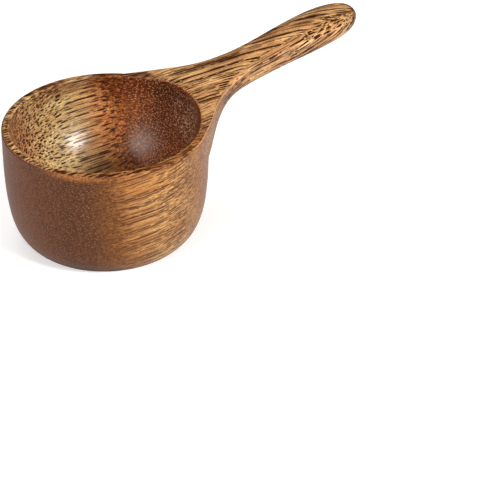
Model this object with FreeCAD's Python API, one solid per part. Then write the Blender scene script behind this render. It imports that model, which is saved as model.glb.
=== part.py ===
import FreeCAD, Part
import os
import math
from FreeCAD import Vector as V

# Wooden scoop, carved from one block of hardwood: an oval bowl on a flat foot,
# and a broad handle that grows out of the rim and rises towards its tip.
# Millimetres. Z is up, X runs along the handle, and the scoop is symmetric
# about the XZ plane. The origin is the centre of the flat foot.

# ---- driving dimensions -------------------------------------------------
rim_height = 31.0        # rim plane above the foot
rim_x = -1.0             # the rim's centre lies a little behind the foot's
rim_a = 25.4             # outer wall at the rim, half length along the handle
rim_b = 23.7             # outer wall at the rim, half width
lip_a = 23.5             # edge of the opening, half length
lip_b = 21.6             # edge of the opening, half width
cavity_depth = 26.6      # rim plane to the lowest point inside
cavity_fullness = 2.3    # 2 is an ellipsoid, and more is squarer
tip_x = 77.2             # end of the handle

# outer wall: (height, how far it stands out from the rim's outline)
wall = [(-0.6, -8.6), (0.0, -6.7), (0.35, -5.45), (1.24, -4.2), (3.1, -2.75), (6.2, -1.45),
        (10.9, -0.55), (17.0, -0.05), (24.8, 0.05), (31.0, 0.0)]

# handle from above: (x, half width), then a round tip
plan = [(8.0, 19.6), (12.0, 18.9), (15.0, 17.9), (17.2, 16.7), (20.0, 14.7),
        (21.6, 13.4), (24.55, 11.1), (27.8, 9.05), (31.1, 7.5), (35.1, 6.2),
        (38.6, 5.55), (43.0, 5.2), (46.5, 5.2), (50.7, 5.4), (55.0, 5.8),
        (60.0, 6.2), (64.0, 6.4), (66.0, 6.43)]

# handle from the side: (x, height above the rim plane)
top = [(16.0, 0.0), (19.5, 0.5), (22.66, 1.3), (27.3, 2.3), (32.0, 3.15),
       (37.8, 4.05), (42.8, 4.75), (46.5, 5.3), (50.7, 6.0), (55.0, 6.7),
       (60.0, 7.4), (64.0, 7.9), (68.0, 8.25), (71.0, 8.4), (74.0, 8.45),
       (84.0, 8.3)]
under = [(8.0, -14.0), (16.0, -12.4), (20.0, -10.2), (24.0, -7.1), (27.3, -4.9),
         (32.0, -3.0), (37.8, -2.05), (42.8, -1.4), (46.5, -0.85), (50.7, -0.1),
         (55.0, 0.7), (60.0, 1.6), (64.0, 2.35), (68.0, 3.05), (74.0, 4.1),
         (84.0, 5.9)]

cove = 8.0               # hollow where the handle's underside meets the bowl
under_round = (4.4, 2.5)  # handle's lower edge, at the bowl and at the tip
top_round = (0.6, 1.95)   # outer upper edge, behind the bowl and at the tip
crown = 13.0             # radius of the handle's top from side to side
lip_round = 0.3          # edge of the opening

H = rim_height
above = 14.0             # the blanks stand this far over the rim before sawing


def spline(points, ends=None):
    c = Part.BSplineCurve()
    if ends:
        c.interpolate(Points=points, InitialTangent=ends[0], FinalTangent=ends[1])
    else:
        c.interpolate(points)
    return c.toShape()


def loop(first, *corners):
    """Wire from an edge and the corners that close it, last point to first."""
    a = first.valueAt(first.FirstParameter)
    b = first.valueAt(first.LastParameter)
    pts = [b] + list(corners) + [a]
    return Part.Wire([first] + [Part.makeLine(p, q) for p, q in zip(pts, pts[1:])])


def oval(solid, share, cx):
    """Narrow a turned solid across the handle, and set its centre."""
    m = FreeCAD.Matrix()
    m.A22 = share
    m.A14 = cx
    return solid.transformGeometry(m)


# ---- bowl blank, near half ----------------------------------------------
outer = [V(rim_a + d, 0, z) for z, d in wall] + [V(rim_a, 0, H + above)]
half_bowl = Part.Face(loop(spline(outer), V(0, 0, H + above), V(0, 0, wall[0][0])))
half_bowl = oval(half_bowl.revolve(V(0, 0, 0), V(0, 0, 1), -180), rim_b / rim_a, 0.0)
lean = FreeCAD.Matrix()
lean.A13 = rim_x / H
half_bowl = half_bowl.transformGeometry(lean)
# the foot is sawn flat
half_bowl = half_bowl.cut(Part.makeBox(80, 80, 10, V(-40, -40, -10)))

# ---- handle blank, near half: sawn from above, then from the side --------
xe, we = plan[-1]
reach = tip_x - xe
outline = [V(x, -w, 0) for x, w in plan]
for i in range(1, 13):
    a = math.pi / 2 * i / 12
    c = math.cos(a) if i < 12 else 0.0
    outline.append(V(xe + reach * math.sin(a) ** 0.92, -we * c ** 0.92, 0))
x0 = plan[0][0]
sheet = Part.Face(loop(spline(outline), V(x0, 0, 0)))
sheet.translate(V(0, 0, H - 24))
from_above = sheet.extrude(V(0, 0, 24 + above))
low_line = spline([V(x, -30, H + z) for x, z in under])
from_side = Part.Face(loop(low_line, V(under[-1][0], -30, H + 30),
                           V(under[0][0], -30, H + 30))).extrude(V(0, 60, 0))
blank = from_above.common(from_side)
low = [e for e in blank.Edges
       if e.BoundBox.XLength > 30 and e.BoundBox.YLength > 5 and e.BoundBox.ZMax < H + 6]
blank = blank.makeFillet(under_round[0], under_round[1], low)

# ---- join, and hollow the corner under the handle -----------------------
half = half_bowl.fuse(blank)
half = half.Solids[0]
corner = []
for e in half.Edges:
    p = e.discretize(9)
    on_wall = all(abs(math.hypot((q.x - rim_x * q.z / H) / rim_a, q.y / rim_b) - 1) < 0.04 for q in p)
    if (on_wall and p[4].x > 12 and min(q.z for q in p) > H - 22
            and max(q.z for q in p) - min(q.z for q in p) > 0.05
            and max(abs(q.y) for q in p) > 0.01):
        corner.append(e)
half = half.makeFillet(cove, corner)

# ---- saw the top: flat over the bowl, rising along the handle -----------
flat_end = top[0][0]
mid_line = Part.BSplineCurve()
mid_line.interpolate([V(x, z, 0) for x, z in top])


def arch(x):
    """How strongly the top is arched from side to side: none at the bowl."""
    t = min(max((x - 24.0) / 22.0, 0.0), 1.0)
    return t * t * (3 - 2 * t) / (2 * crown)


def sawn_z(x, y=0.0):
    """Height of the sawn top."""
    if x <= flat_end:
        return H
    lo, hi = mid_line.FirstParameter, mid_line.LastParameter
    for _ in range(50):
        mid = (lo + hi) / 2
        if mid_line.value(mid).x < x:
            lo = mid
        else:
            hi = mid
    # the middle is raised so that the sides keep their height
    return H + mid_line.value(lo).y + arch(x) * (11.0 - y * y)


sections = []
for x in (16.0, 18.0, 20.0, 22.5, 25.0, 28.0, 31.0, 34.5, 38.0, 42.0, 46.0, 50.0, 55.0,
          60.0, 65.0, 70.0, 75.0, 80.0, 84.0):
    arc = spline([V(x, y, sawn_z(x, y)) for y in (-18, -12, -6, 0, 6, 12, 18)])
    sections.append(loop(arc, V(x, 18, H + 40), V(x, -18, H + 40)))
over_handle = Part.makeLoft(sections, True, False)
over_bowl = Part.makeBox(70, 60, 40, V(flat_end - 70, -30, H))
half = half.cut(over_bowl).cut(over_handle)


rim = []
for e in half.Edges:
    p = e.discretize(9)
    if (all(abs(q.z - sawn_z(q.x, q.y)) < 0.1 for q in p) and max(abs(q.y) for q in p) > 1.0
            and max(q.x for q in p) - min(q.x for q in p) > 0.1):
        rim.append(e)
rim.sort(key=lambda e: e.BoundBox.XMin)
half = half.makeFillet(top_round[0], top_round[1], rim)

# ---- whole scoop, opened out --------------------------------------------
scoop = half.fuse(half.mirror(V(0, 0, 0), V(0, 1, 0))).removeSplitter()
inner = []
for i in range(0, 17):
    a = math.pi / 2 * i / 16
    inner.append(V(lip_a * math.sin(a) ** (2 / cavity_fullness), 0,
                   H - cavity_depth * max(math.cos(a), 0.0) ** (2 / cavity_fullness)))
bottom = spline(inner, (V(1, 0, 0), V(0, 0, 1)))
hollow = Part.Face(loop(bottom, V(lip_a, 0, H + 8), V(0, 0, H + 8))).revolve(V(0, 0, 0), V(0, 0, 1), 360)
hollow = oval(hollow, lip_b / lip_a, rim_x)
scoop = scoop.cut(hollow)
lip = []
for e in scoop.Edges:
    if e.Degenerated or e.Length < 0.05:
        continue
    p = e.discretize(9)
    if all(abs(math.hypot((q.x - rim_x) / lip_a, q.y / lip_b) - 1) < 0.01 and abs(q.z - sawn_z(q.x, q.y)) < 0.1 for q in p):
        lip.append(e)
scoop = scoop.makeFillet(lip_round, lip)

shape = scoop.Solids[0]
os.makedirs("parts", exist_ok=True)
shape.exportStep("parts/scoop.step")
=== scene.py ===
import math
import bpy
from mathutils import Matrix, Vector

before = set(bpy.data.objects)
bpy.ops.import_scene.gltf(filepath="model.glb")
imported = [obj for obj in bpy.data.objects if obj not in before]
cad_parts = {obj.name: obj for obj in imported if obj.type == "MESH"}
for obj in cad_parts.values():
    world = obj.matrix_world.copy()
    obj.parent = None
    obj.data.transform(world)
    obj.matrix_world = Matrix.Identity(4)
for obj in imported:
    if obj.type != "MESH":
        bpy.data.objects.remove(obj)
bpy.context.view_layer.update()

scene = bpy.context.scene

# ------------------------------------------------------------------ camera
# Right, up and view directions at the photograph's viewing angle.
RIGHT = Vector((0.7778175, -0.62724013, 0.03962018))
UP = Vector((0.33359695, 0.46546414, 0.81979035))
VIEW = Vector((0.53264717, 0.62443011, -0.57129155))
cam_data = bpy.data.cameras.new("camera")
cam = bpy.data.objects.new("camera", cam_data)
scene.collection.objects.link(cam)
m = Matrix((RIGHT, UP, -VIEW)).transposed().to_4x4()
m.translation = Vector((-0.22929, -0.32139, 0.26908))
cam.matrix_world = m
cam_data.sensor_width = 36.0
cam_data.lens = 137.52
cam_data.clip_start = 0.01
cam_data.clip_end = 10.0
scene.camera = cam

# ------------------------------------------------------------------ studio
world = bpy.data.worlds.new("studio")
scene.world = world
world.use_nodes = True
bg = world.node_tree.nodes["Background"]
bg.inputs["Color"].default_value = (1.0, 0.99, 0.97, 1.0)
bg.inputs["Strength"].default_value = 0.33
world.cycles_visibility.glossy = False      # dark surroundings behind the softboxes


def softbox(name, az, el, dist, size, power, color=(1, 1, 1), target=(0.005, 0.0, 0.02)):
    data = bpy.data.lights.new(name, "AREA")
    data.shape = "RECTANGLE"
    data.size, data.size_y = size
    data.energy = power
    data.color = color
    ob = bpy.data.objects.new(name, data)
    scene.collection.objects.link(ob)
    a, e = math.radians(az), math.radians(el)
    d = Vector((math.cos(e) * math.cos(a), math.cos(e) * math.sin(a), math.sin(e)))
    ob.location = Vector(target) + d * dist
    ob.rotation_euler = (-d).to_track_quat("-Z", "Y").to_euler()
    return ob


softbox("key", -77, 32, 0.75, (0.17, 0.13), 5.6).visible_glossy = False
glint = softbox("glint", -77.5, 18.0, 0.75, (0.25, 0.18), 16.5)      # only for its reflection in the bowl
glint.visible_diffuse = False
glint.data.use_shadow = False
softbox("fill", -170, 26, 0.80, (0.32, 0.18), 3.9)
card = softbox("card", -171, 26, 0.80, (0.34, 0.20), 9.0, (1, 0.96, 0.90))
card.visible_diffuse = False
softbox("overhead", 90, 70, 0.95, (0.55, 0.55), 2.75).visible_glossy = False

# floor: a pale flat plane
me = bpy.data.meshes.new("floor")
s = 3.0
me.from_pydata([(-s, -s, 0), (s, -s, 0), (s, s, 0), (-s, s, 0)], [], [(0, 1, 2, 3)])
floor = bpy.data.objects.new("floor", me)
scene.collection.objects.link(floor)
fm = bpy.data.materials.new("floor")
fm.use_nodes = True
fb = fm.node_tree.nodes["Principled BSDF"]
fb.inputs["Base Color"].default_value = (0.74, 0.737, 0.73, 1)
fb.inputs["Emission Color"].default_value = (1.0, 0.995, 0.985, 1)
fb.inputs["Emission Strength"].default_value = 0.40
fb.inputs["Roughness"].default_value = 0.75
fb.inputs["Specular IOR Level"].default_value = 0.2
me.materials.append(fm)

# ------------------------------------------------------------------ wood
# Solid wood in the part's own coordinates. The fibres run along the handle,
# drift to its near side and rise a little: dy/dx = -(DRIFT + BEND x) and
# dz/dx = RISE, with x in millimetres. Vessels are long tubes along them, so
# that they show as streaks where a surface runs with the grain and as dots
# where it cuts across it.
DRIFT, BEND, RISE = 0.22, 0.0035, 0.15


def lin(r, g, b):
    """Linear colour from an 8-bit display colour."""
    f = lambda c: (c / 255) / 12.92 if c / 255 <= 0.04045 else ((c / 255 + 0.055) / 1.055) ** 2.4
    return (f(r), f(g), f(b), 1.0)


class Graph:
    """Short names for shader nodes."""

    def __init__(self, tree):
        self.t = tree

    def new(self, kind, **props):
        n = self.t.nodes.new(kind)
        for k, v in props.items():
            setattr(n, k, v)
        return n

    def put(self, socket, value):
        if isinstance(value, bpy.types.NodeSocket):
            self.t.links.new(value, socket)
        else:
            socket.default_value = value

    def math(self, op, a, b=0.0, c=0.0, clamp=False):
        n = self.new("ShaderNodeMath", operation=op, use_clamp=clamp)
        for s, v in zip(n.inputs, (a, b, c)):
            self.put(s, v)
        return n.outputs[0]

    def add(self, a, b):
        return self.math("ADD", a, b)

    def sub(self, a, b):
        return self.math("SUBTRACT", a, b)

    def mul(self, a, b):
        return self.math("MULTIPLY", a, b)

    def dot(self, v, axis):
        n = self.new("ShaderNodeVectorMath", operation="DOT_PRODUCT")
        self.put(n.inputs[0], v)
        n.inputs[1].default_value = axis
        return n.outputs["Value"]

    def scaled(self, v, k):
        n = self.new("ShaderNodeVectorMath", operation="SCALE")
        self.put(n.inputs[0], v)
        n.inputs["Scale"].default_value = k
        return n.outputs[0]

    def vec(self, x, y, z=0.0):
        n = self.new("ShaderNodeCombineXYZ")
        for s, v in zip(n.inputs, (x, y, z)):
            self.put(s, v)
        return n.outputs[0]

    def noise(self, v, scale=1.0, detail=2.0, rough=0.5, color=False):
        n = self.new("ShaderNodeTexNoise", noise_dimensions="3D")
        self.put(n.inputs["Vector"], v)
        n.inputs["Scale"].default_value = scale
        n.inputs["Detail"].default_value = detail
        n.inputs["Roughness"].default_value = rough
        return n.outputs["Color" if color else "Fac"]

    def cells(self, v, scale, rand=0.85, dims="2D"):
        n = self.new("ShaderNodeTexVoronoi", voronoi_dimensions=dims, feature="F1")
        self.put(n.inputs["Vector"], v)
        n.inputs["Scale"].default_value = scale
        n.inputs["Randomness"].default_value = rand
        return n.outputs["Distance"], n.outputs["Color"]

    def step(self, x, lo, hi, out0=0.0, out1=1.0):
        n = self.new("ShaderNodeMapRange", interpolation_type="SMOOTHSTEP")
        for s, v in zip(n.inputs, (x, lo, hi, out0, out1)):
            self.put(s, v)
        return n.outputs[0]

    def ramp(self, x, stops):
        n = self.new("ShaderNodeValToRGB")
        n.color_ramp.interpolation = "LINEAR"
        el = n.color_ramp.elements
        while len(el) < len(stops):
            el.new(0.5)
        for e, (p, c) in zip(el, stops):
            e.position = p
            e.color = c
        self.put(n.inputs[0], x)
        return n.outputs[0]

    def mix(self, fac, a, b, blend="MIX"):
        n = self.new("ShaderNodeMix", data_type="RGBA", blend_type=blend)
        self.put(n.inputs[0], fac)
        self.put(n.inputs[6], a)
        self.put(n.inputs[7], b)
        return n.outputs[2]

    def split(self, c):
        n = self.new("ShaderNodeSeparateColor")
        self.put(n.inputs[0], c)
        return n.outputs


wood = bpy.data.materials.new("oiled_hardwood")
wood.use_nodes = True
g = Graph(wood.node_tree)
bsdf = wood.node_tree.nodes["Principled BSDF"]
coords = g.new("ShaderNodeTexCoord")
p = g.scaled(coords.outputs["Object"], 1000.0)      # millimetres
xyz = g.new("ShaderNodeSeparateXYZ")
g.put(xyz.inputs[0], p)
px, py, pz = xyz.outputs
nrm = g.new("ShaderNodeSeparateXYZ")
g.put(nrm.inputs[0], coords.outputs["Normal"])
nx, ny, nz = nrm.outputs

# a and b stay the same along a fibre; the outer wood, at the handle's
# rounded sides, follows the handle
far_flank = g.mul(g.step(ny, 0.40, 0.60), g.step(px, 24.0, 30.0))
near_line = g.add(g.add(py, 2.7), g.mul(g.math("MAXIMUM", g.sub(46.0, px), 0.0), 0.19))
near_line = g.add(near_line, g.mul(g.math("MAXIMUM", g.sub(33.0, px), 0.0), 0.50))
near_line = g.add(near_line, g.mul(g.sub(g.noise(p, 1 / 2.2, 1.0, 0.5), 0.5), 3.0))
near_flank = g.mul(g.step(near_line, 0.15, -0.15), g.step(px, 26.0, 29.0))
flank = g.math("MAXIMUM", far_flank, near_flank)
straight = g.sub(1.0, flank)
along = g.mul(px, 1.06)
a = g.sub(pz, g.mul(px, RISE))
turn = g.math("MAXIMUM", g.sub(px, 50.0), 0.0)
a = g.sub(a, g.mul(g.mul(g.mul(turn, turn), 0.007), near_flank))
b = g.add(py, g.mul(g.mul(px, g.add(DRIFT, g.mul(px, BEND / 2))), straight))
lean_y = g.mul(g.math("MULTIPLY_ADD", px, -BEND, -DRIFT), straight)
facing = g.add(nx, g.add(g.mul(ny, lean_y), g.mul(nz, RISE)))
# +1 and -1 are end grain
facing = g.math("DIVIDE", facing, g.math("SQRT", g.add(g.mul(lean_y, lean_y), 1 + RISE * RISE)))

# inside of the bowl, and the sawn top
qx = g.add(px, 1.0)
ring = g.add(g.math("POWER", g.math("ABSOLUTE", g.mul(qx, 1 / 23.6)), 2.0),
             g.math("POWER", g.math("ABSOLUTE", g.mul(py, 1 / 21.75)), 2.0))
outward = g.add(g.mul(g.mul(nx, qx), 1 / 25), g.mul(g.mul(ny, py), 1 / 25))
inside = g.mul(g.step(ring, 1.05, 1.00), g.step(g.sub(outward, nz), 0.0, -0.15))
topside = g.mul(g.sub(1.0, inside), g.step(nz, 0.55, 0.85))

# the fibres wander: slow bends, and small ones between neighbours
slow = g.split(g.noise(p, 1 / 26, 1.0, 0.5, color=True))
quick = g.split(g.noise(g.vec(g.mul(along, 0.30), a, b), 1 / 3.0, 1.0, 0.5, color=True))
wander = lambda s, q, k, m: g.add(g.mul(g.sub(s, 0.5), k), g.mul(g.sub(q, 0.5), m))
a = g.add(a, wander(slow[0], quick[0], 2.4, 0.42))
b = g.add(b, wander(slow[1], quick[1], 2.4, 0.42))


def zone(center, radii):
    """1 at the centre of an oval zone, falling to 0 at its edge."""
    d = 0.0
    for c, r, v in zip(center, radii, (px, py, pz)):
        q = g.mul(g.sub(v, c), 1 / r)
        d = g.add(g.mul(q, q), d)
    return g.step(d, 1.0, 0.0)


crowded = g.math("MAXIMUM", zone((37.0, 0.5, 35.2), (9.0, 3.4, 3.0)), zone((61.5, 0.6, 39.5), (6.5, 2.4, 3.0)))
broad = g.add(g.add(1.0, g.mul(topside, 0.27)), g.mul(crowded, 0.25))
broad = g.add(broad, g.mul(g.mul(inside, g.step(facing, 0.30, 0.65)), 0.30))


def tubes(pitch, radius, soft, seed, share, dash=12.0, flat=1.0):
    """Share of the surface cut by a vessel: 1 in its middle."""
    d, own = g.cells(g.vec(g.add(a, seed), g.add(g.mul(b, flat), seed * 0.7)), 1 / pitch, 0.88)
    own = g.split(own)
    here = g.noise(g.vec(g.add(g.mul(along, 1 / dash), g.mul(own[0], 50.0)), g.mul(own[1], 50.0), seed), 1.0, 1.0)
    open_ = g.step(here, 0.62 - share * 0.3, 0.70 - share * 0.3)
    width = g.add(radius / pitch * 0.75, g.mul(own[2], radius / pitch * 0.5))
    width = g.mul(width, broad)
    body = g.math("SUBTRACT", 1.0, g.math("DIVIDE", d, width), clamp=True)
    return g.mul(g.step(body, 0.0, soft), open_)


big = tubes(0.80, 0.218, 0.20, 5.3, 0.98, 4.2)
small = tubes(0.56, 0.155, 0.22, 17.3, 0.85, 2.4)
short = tubes(0.80, 0.212, 0.18, 33.7, 1.02, 2.2)         # on the sawn top
dashes = tubes(0.66, 0.205, 0.20, 51.7, 0.80, 1.6)       # along the handle's near side
layers = tubes(0.52, 0.17, 0.30, 88.7, 1.05, 2.4, 0.18)  # growth layers lie level
filled = tubes(0.62, 0.15, 0.60, 41.9, 1.0, 1.5)

# tone along the fibres: fine lines, bands, patches
fine = g.step(g.noise(g.vec(g.mul(along, 1 / 14.0), g.mul(a, 1 / 0.36), g.mul(b, 1 / 0.36)), 1.0, 2.0, 0.55), 0.30, 0.70)
band = g.step(g.noise(g.vec(g.mul(along, 1 / 38.0), g.mul(a, 1 / 2.1), g.mul(b, 1 / 2.1)), 1.0, 2.0, 0.5), 0.25, 0.75)
patch = g.step(g.noise(g.vec(g.mul(along, 1 / 16.0), g.mul(a, 1 / 7.0), g.mul(b, 1 / 7.0)), 1.0, 2.0, 0.5), 0.3, 0.7)
grit = g.step(g.noise(p, 1 / 0.42, 1.0, 0.6), 0.30, 0.70)
# the growth layers show as long lines on the side walls
upright = g.mul(g.step(g.math("ABSOLUTE", nz), 0.75, 0.45), g.step(facing, -0.45, -0.12))
upright = g.mul(upright, g.sub(1.0, g.mul(g.step(facing, 0.35, 0.75), 0.6)))
upright = g.mul(upright, g.sub(1.0, inside))
lines = g.mul(layers, upright)
speck = g.step(g.noise(p, 1 / 0.55, 0.0, 0.5), 0.52, 0.66)

side = g.math("MULTIPLY_ADD", facing, 0.5, 0.5)
T = lambda r, g_, b_: lin(r, g_, b_)
outer_tone = g.ramp(side, [
    (0.00, T(80, 44, 22)), (0.15, T(66, 35, 15)), (0.25, T(72, 40, 17)),
    (0.35, T(100, 60, 26)), (0.45, T(138, 92, 49)), (0.60, T(161, 119, 71)),
    (0.80, T(137, 94, 54)), (1.00, T(112, 72, 42)),
])
inner_tone = g.ramp(side, [
    (0.00, T(76, 35, 15)), (0.12, T(86, 40, 14)), (0.20, T(101, 52, 22)), (0.30, T(126, 70, 34)),
    (0.40, T(173, 114, 67)), (0.47, T(172, 127, 80)), (0.54, T(171, 136, 88)), (0.64, T(192, 160, 107)),
    (0.74, T(192, 156, 106)), (0.82, T(180, 129, 84)), (0.90, T(168, 111, 73)),
])
top_tone = g.ramp(side, [
    (0.38, T(134, 98, 70)), (0.44, T(170, 126, 84)), (0.50, T(190, 143, 93)),
    (0.56, T(186, 140, 92)), (0.62, T(160, 117, 77)), (0.72, T(136, 98, 68)),
])
col = g.mix(inside, outer_tone, inner_tone)
flank_tone = g.mul(flank, g.step(nz, -0.75, -0.25))
col = g.mix(g.math("MAXIMUM", topside, flank_tone), col, top_tone)


def times(color, r, g_, b_):
    """Multiply a colour by three factors."""
    n = g.new("ShaderNodeCombineColor")
    for s, v in zip(n.inputs, (r, g_, b_)):
        g.put(s, v)
    return g.mix(1.0, color, n.outputs[0], "MULTIPLY")


def span(x, lo, hi):
    return g.add(lo, g.mul(x, hi - lo))


grained = g.step(facing, -0.45, -0.10)      # little is seen of it on dark end grain
front = g.mul(g.mul(g.step(pz, 28.8, 30.4), g.sub(1.0, inside)), g.mul(g.step(py, -6.0, -15.0), g.step(px, 22.0, 13.0)))
col = g.mix(g.mul(front, 0.70), col, T(134, 80, 35))


def spot(center, radii):
    """The same, broken up by the wood's own pattern."""
    return g.mul(zone(center, radii), g.mul(span(patch, 0.6, 1.0), span(fine, 1.0, 0.35)))


# tints in listed zones; the first two are painted shade near the lip, the rest are the wood's own patches
for center, radii, tint, k in (
        ((14.5, 16.5, 29.0), (11.5, 9.0, 7.0), T(80, 32, 12), 1.70),      # painted shade under the rim, over the far wall's darker end grain
        ((21.5, 6.5, 29.0), (4.0, 11.0, 4.0), T(54, 24, 10), 1.10),      # painted shade on the wall under the handle
        ((-1.0, 21.2, 29.8), (11.0, 5.0, 4.5), T(112, 56, 26), 1.00),     # reddish patches further round the far wall, under the rim
        ((11.0, 17.0, 20.0), (5.0, 8.0, 14.0), T(140, 78, 44), 0.30),    # edge of the dark side
        ((37.0, 0.5, 35.2), (9.0, 3.4, 3.0), T(108, 58, 34), 0.95),      # handle's waist
        ((61.5, 0.6, 39.5), (6.5, 2.2, 3.0), T(96, 50, 26), 0.90),      # handle's broad end
        ((-6.0, -23.4, 28.0), (13.0, 6.0, 5.0), T(182, 124, 60), 0.60)): # under the near rim
    col = g.mix(g.mul(spot(center, radii), k), col, tint)
soft = span(grained, 0.35, 1.0)
tone_of = lambda x, k: g.add(1.0, g.mul(g.mul(g.sub(x, 0.5), k), soft))
col = times(col, *(g.mul(g.mul(tone_of(patch, kp), tone_of(band, kb)), tone_of(fine, kf))
                   for kp, kb, kf in ((-0.16, 0.30, 0.62), (-0.30, 0.38, 0.74), (-0.40, 0.40, 0.80))))
gr = span(grit, 0.86, 1.14)
gr = g.add(gr, g.mul(g.sub(grit, 0.5), g.mul(g.sub(1.0, grained), 0.45)))
gr = g.add(gr, g.mul(g.mul(speck, g.sub(1.0, grained)), span(inside, 0.34, 0.85)))
gr = g.sub(gr, g.mul(g.mul(g.sub(1.0, grained), inside), span(speck, 0.16, -0.04)))
col = times(col, gr, gr, gr)

# open vessels hold oil and look dark, but pale dust fills those that the
# tool tore on the far side of the grain
torn = g.step(facing, -0.34, -0.54)
clean = g.sub(1.0, torn)
rim = g.mul(g.mul(topside, g.step(ring, 1.40, 1.28)), g.step(px, 18.0, 13.0))
wall_side = g.mul(g.mul(g.sub(1.0, inside), g.step(nz, 0.6, 0.3)), straight)
rim_left = g.mul(rim, g.step(px, 6.0, -6.0))
big_here = g.mul(g.mul(g.add(g.mul(big, g.sub(1.0, topside)), g.mul(g.math("MAXIMUM", short, g.mul(big, rim_left)), topside)), span(wall_side, 1.0, 0.40)), g.add(span(rim, 1.0, 0.75), g.mul(rim_left, 0.25)))
big_here = g.math("MAXIMUM", g.mul(big_here, g.sub(1.0, near_flank)), g.mul(dashes, near_flank))
pore = g.math("MAXIMUM", g.math("MAXIMUM", big_here, g.mul(small, span(rim_left, 0.75, 0.95))), g.mul(lines, 0.95))
pore_tone = g.mix(wall_side, T(52, 14, 0), T(66, 27, 0))
pore_tone = g.mix(inside, pore_tone, T(56, 20, 2))
col = g.mix(g.mul(pore, clean), col, pore_tone)
dusty = zone((23.5, -4.0, 25.0), (4.5, 10.0, 9.0))
col = g.mix(g.mul(torn, g.mul(filled, span(inside, 0.18, 0.78))), col, T(192, 140, 104))
col = g.mix(g.mul(g.mul(dusty, inside), g.mul(g.mul(fine, speck), 0.85)), col, T(204, 170, 142))
# painted highlight: a pale line along the rim's outer arris, from the bowl's right side onto the handle's root
arris_highlight = g.mul(g.mul(g.step(nz, 0.30, 0.50), g.step(nz, 0.88, 0.72)), g.sub(1.0, inside))
arris_highlight = g.mul(arris_highlight, g.mul(g.step(pz, 29.0, 30.0), g.step(px, 6.0, 13.0)))
arris_highlight = g.mul(arris_highlight, g.step(px, 44.0, 34.0))
# painted shade: the side faces of the handle's near flank are darkened by a fifth
near_side_shade = g.sub(1.0, g.mul(g.mul(near_flank, g.step(nz, 0.7, 0.2)), 0.20))
col = times(col, near_side_shade, near_side_shade, near_side_shade)
col = g.mix(g.mul(arris_highlight, 0.42), col, T(220, 170, 116))
# painted contact shade: the rounded lower edge is darker towards the bottom, the flat underside is left as it is
contact_shade = g.mul(g.step(pz, 4.5, 0.6), g.step(nz, -0.985, -0.92))
contact_shade = g.sub(1.0, g.mul(contact_shade, 0.55))
col = times(col, contact_shade, contact_shade, contact_shade)
g.put(bsdf.inputs["Base Color"], col)

rough = g.add(g.add(0.23, g.mul(g.mul(pore, clean), 0.12)), g.add(g.mul(torn, 0.10), g.mul(g.sub(grit, 0.5), 0.10)))
rough = g.add(rough, g.mul(g.mul(torn, inside), 0.08))
rough = g.add(rough, g.mul(g.mul(g.sub(1.0, inside), g.step(nz, 0.95, 0.7)), 0.12))
lip = g.mul(g.mul(g.step(nz, 0.12, 0.35), g.step(nz, 0.98, 0.88)), g.mul(g.step(pz, 28.0, 29.5), g.sub(1.0, inside)))
rough = g.add(rough, g.mul(g.math("MAXIMUM", lip, g.step(pz, 3.0, 1.0)), 0.30))      # the worn edge is dull
g.put(bsdf.inputs["Roughness"], rough)
bsdf.inputs["Specular IOR Level"].default_value = 0.12
bump = g.new("ShaderNodeBump")
bump.inputs["Strength"].default_value = 0.6
bump.inputs["Distance"].default_value = 0.00004
height = g.add(g.mul(g.mul(pore, clean), -1.0), g.add(g.mul(fine, 0.15), g.mul(grit, 0.12)))
g.put(bump.inputs["Height"], height)
g.put(bsdf.inputs["Normal"], bump.outputs[0])

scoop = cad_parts["scoop"]
scoop.data.materials.clear()
scoop.data.materials.append(wood)

scene.view_settings.view_transform = "Standard"

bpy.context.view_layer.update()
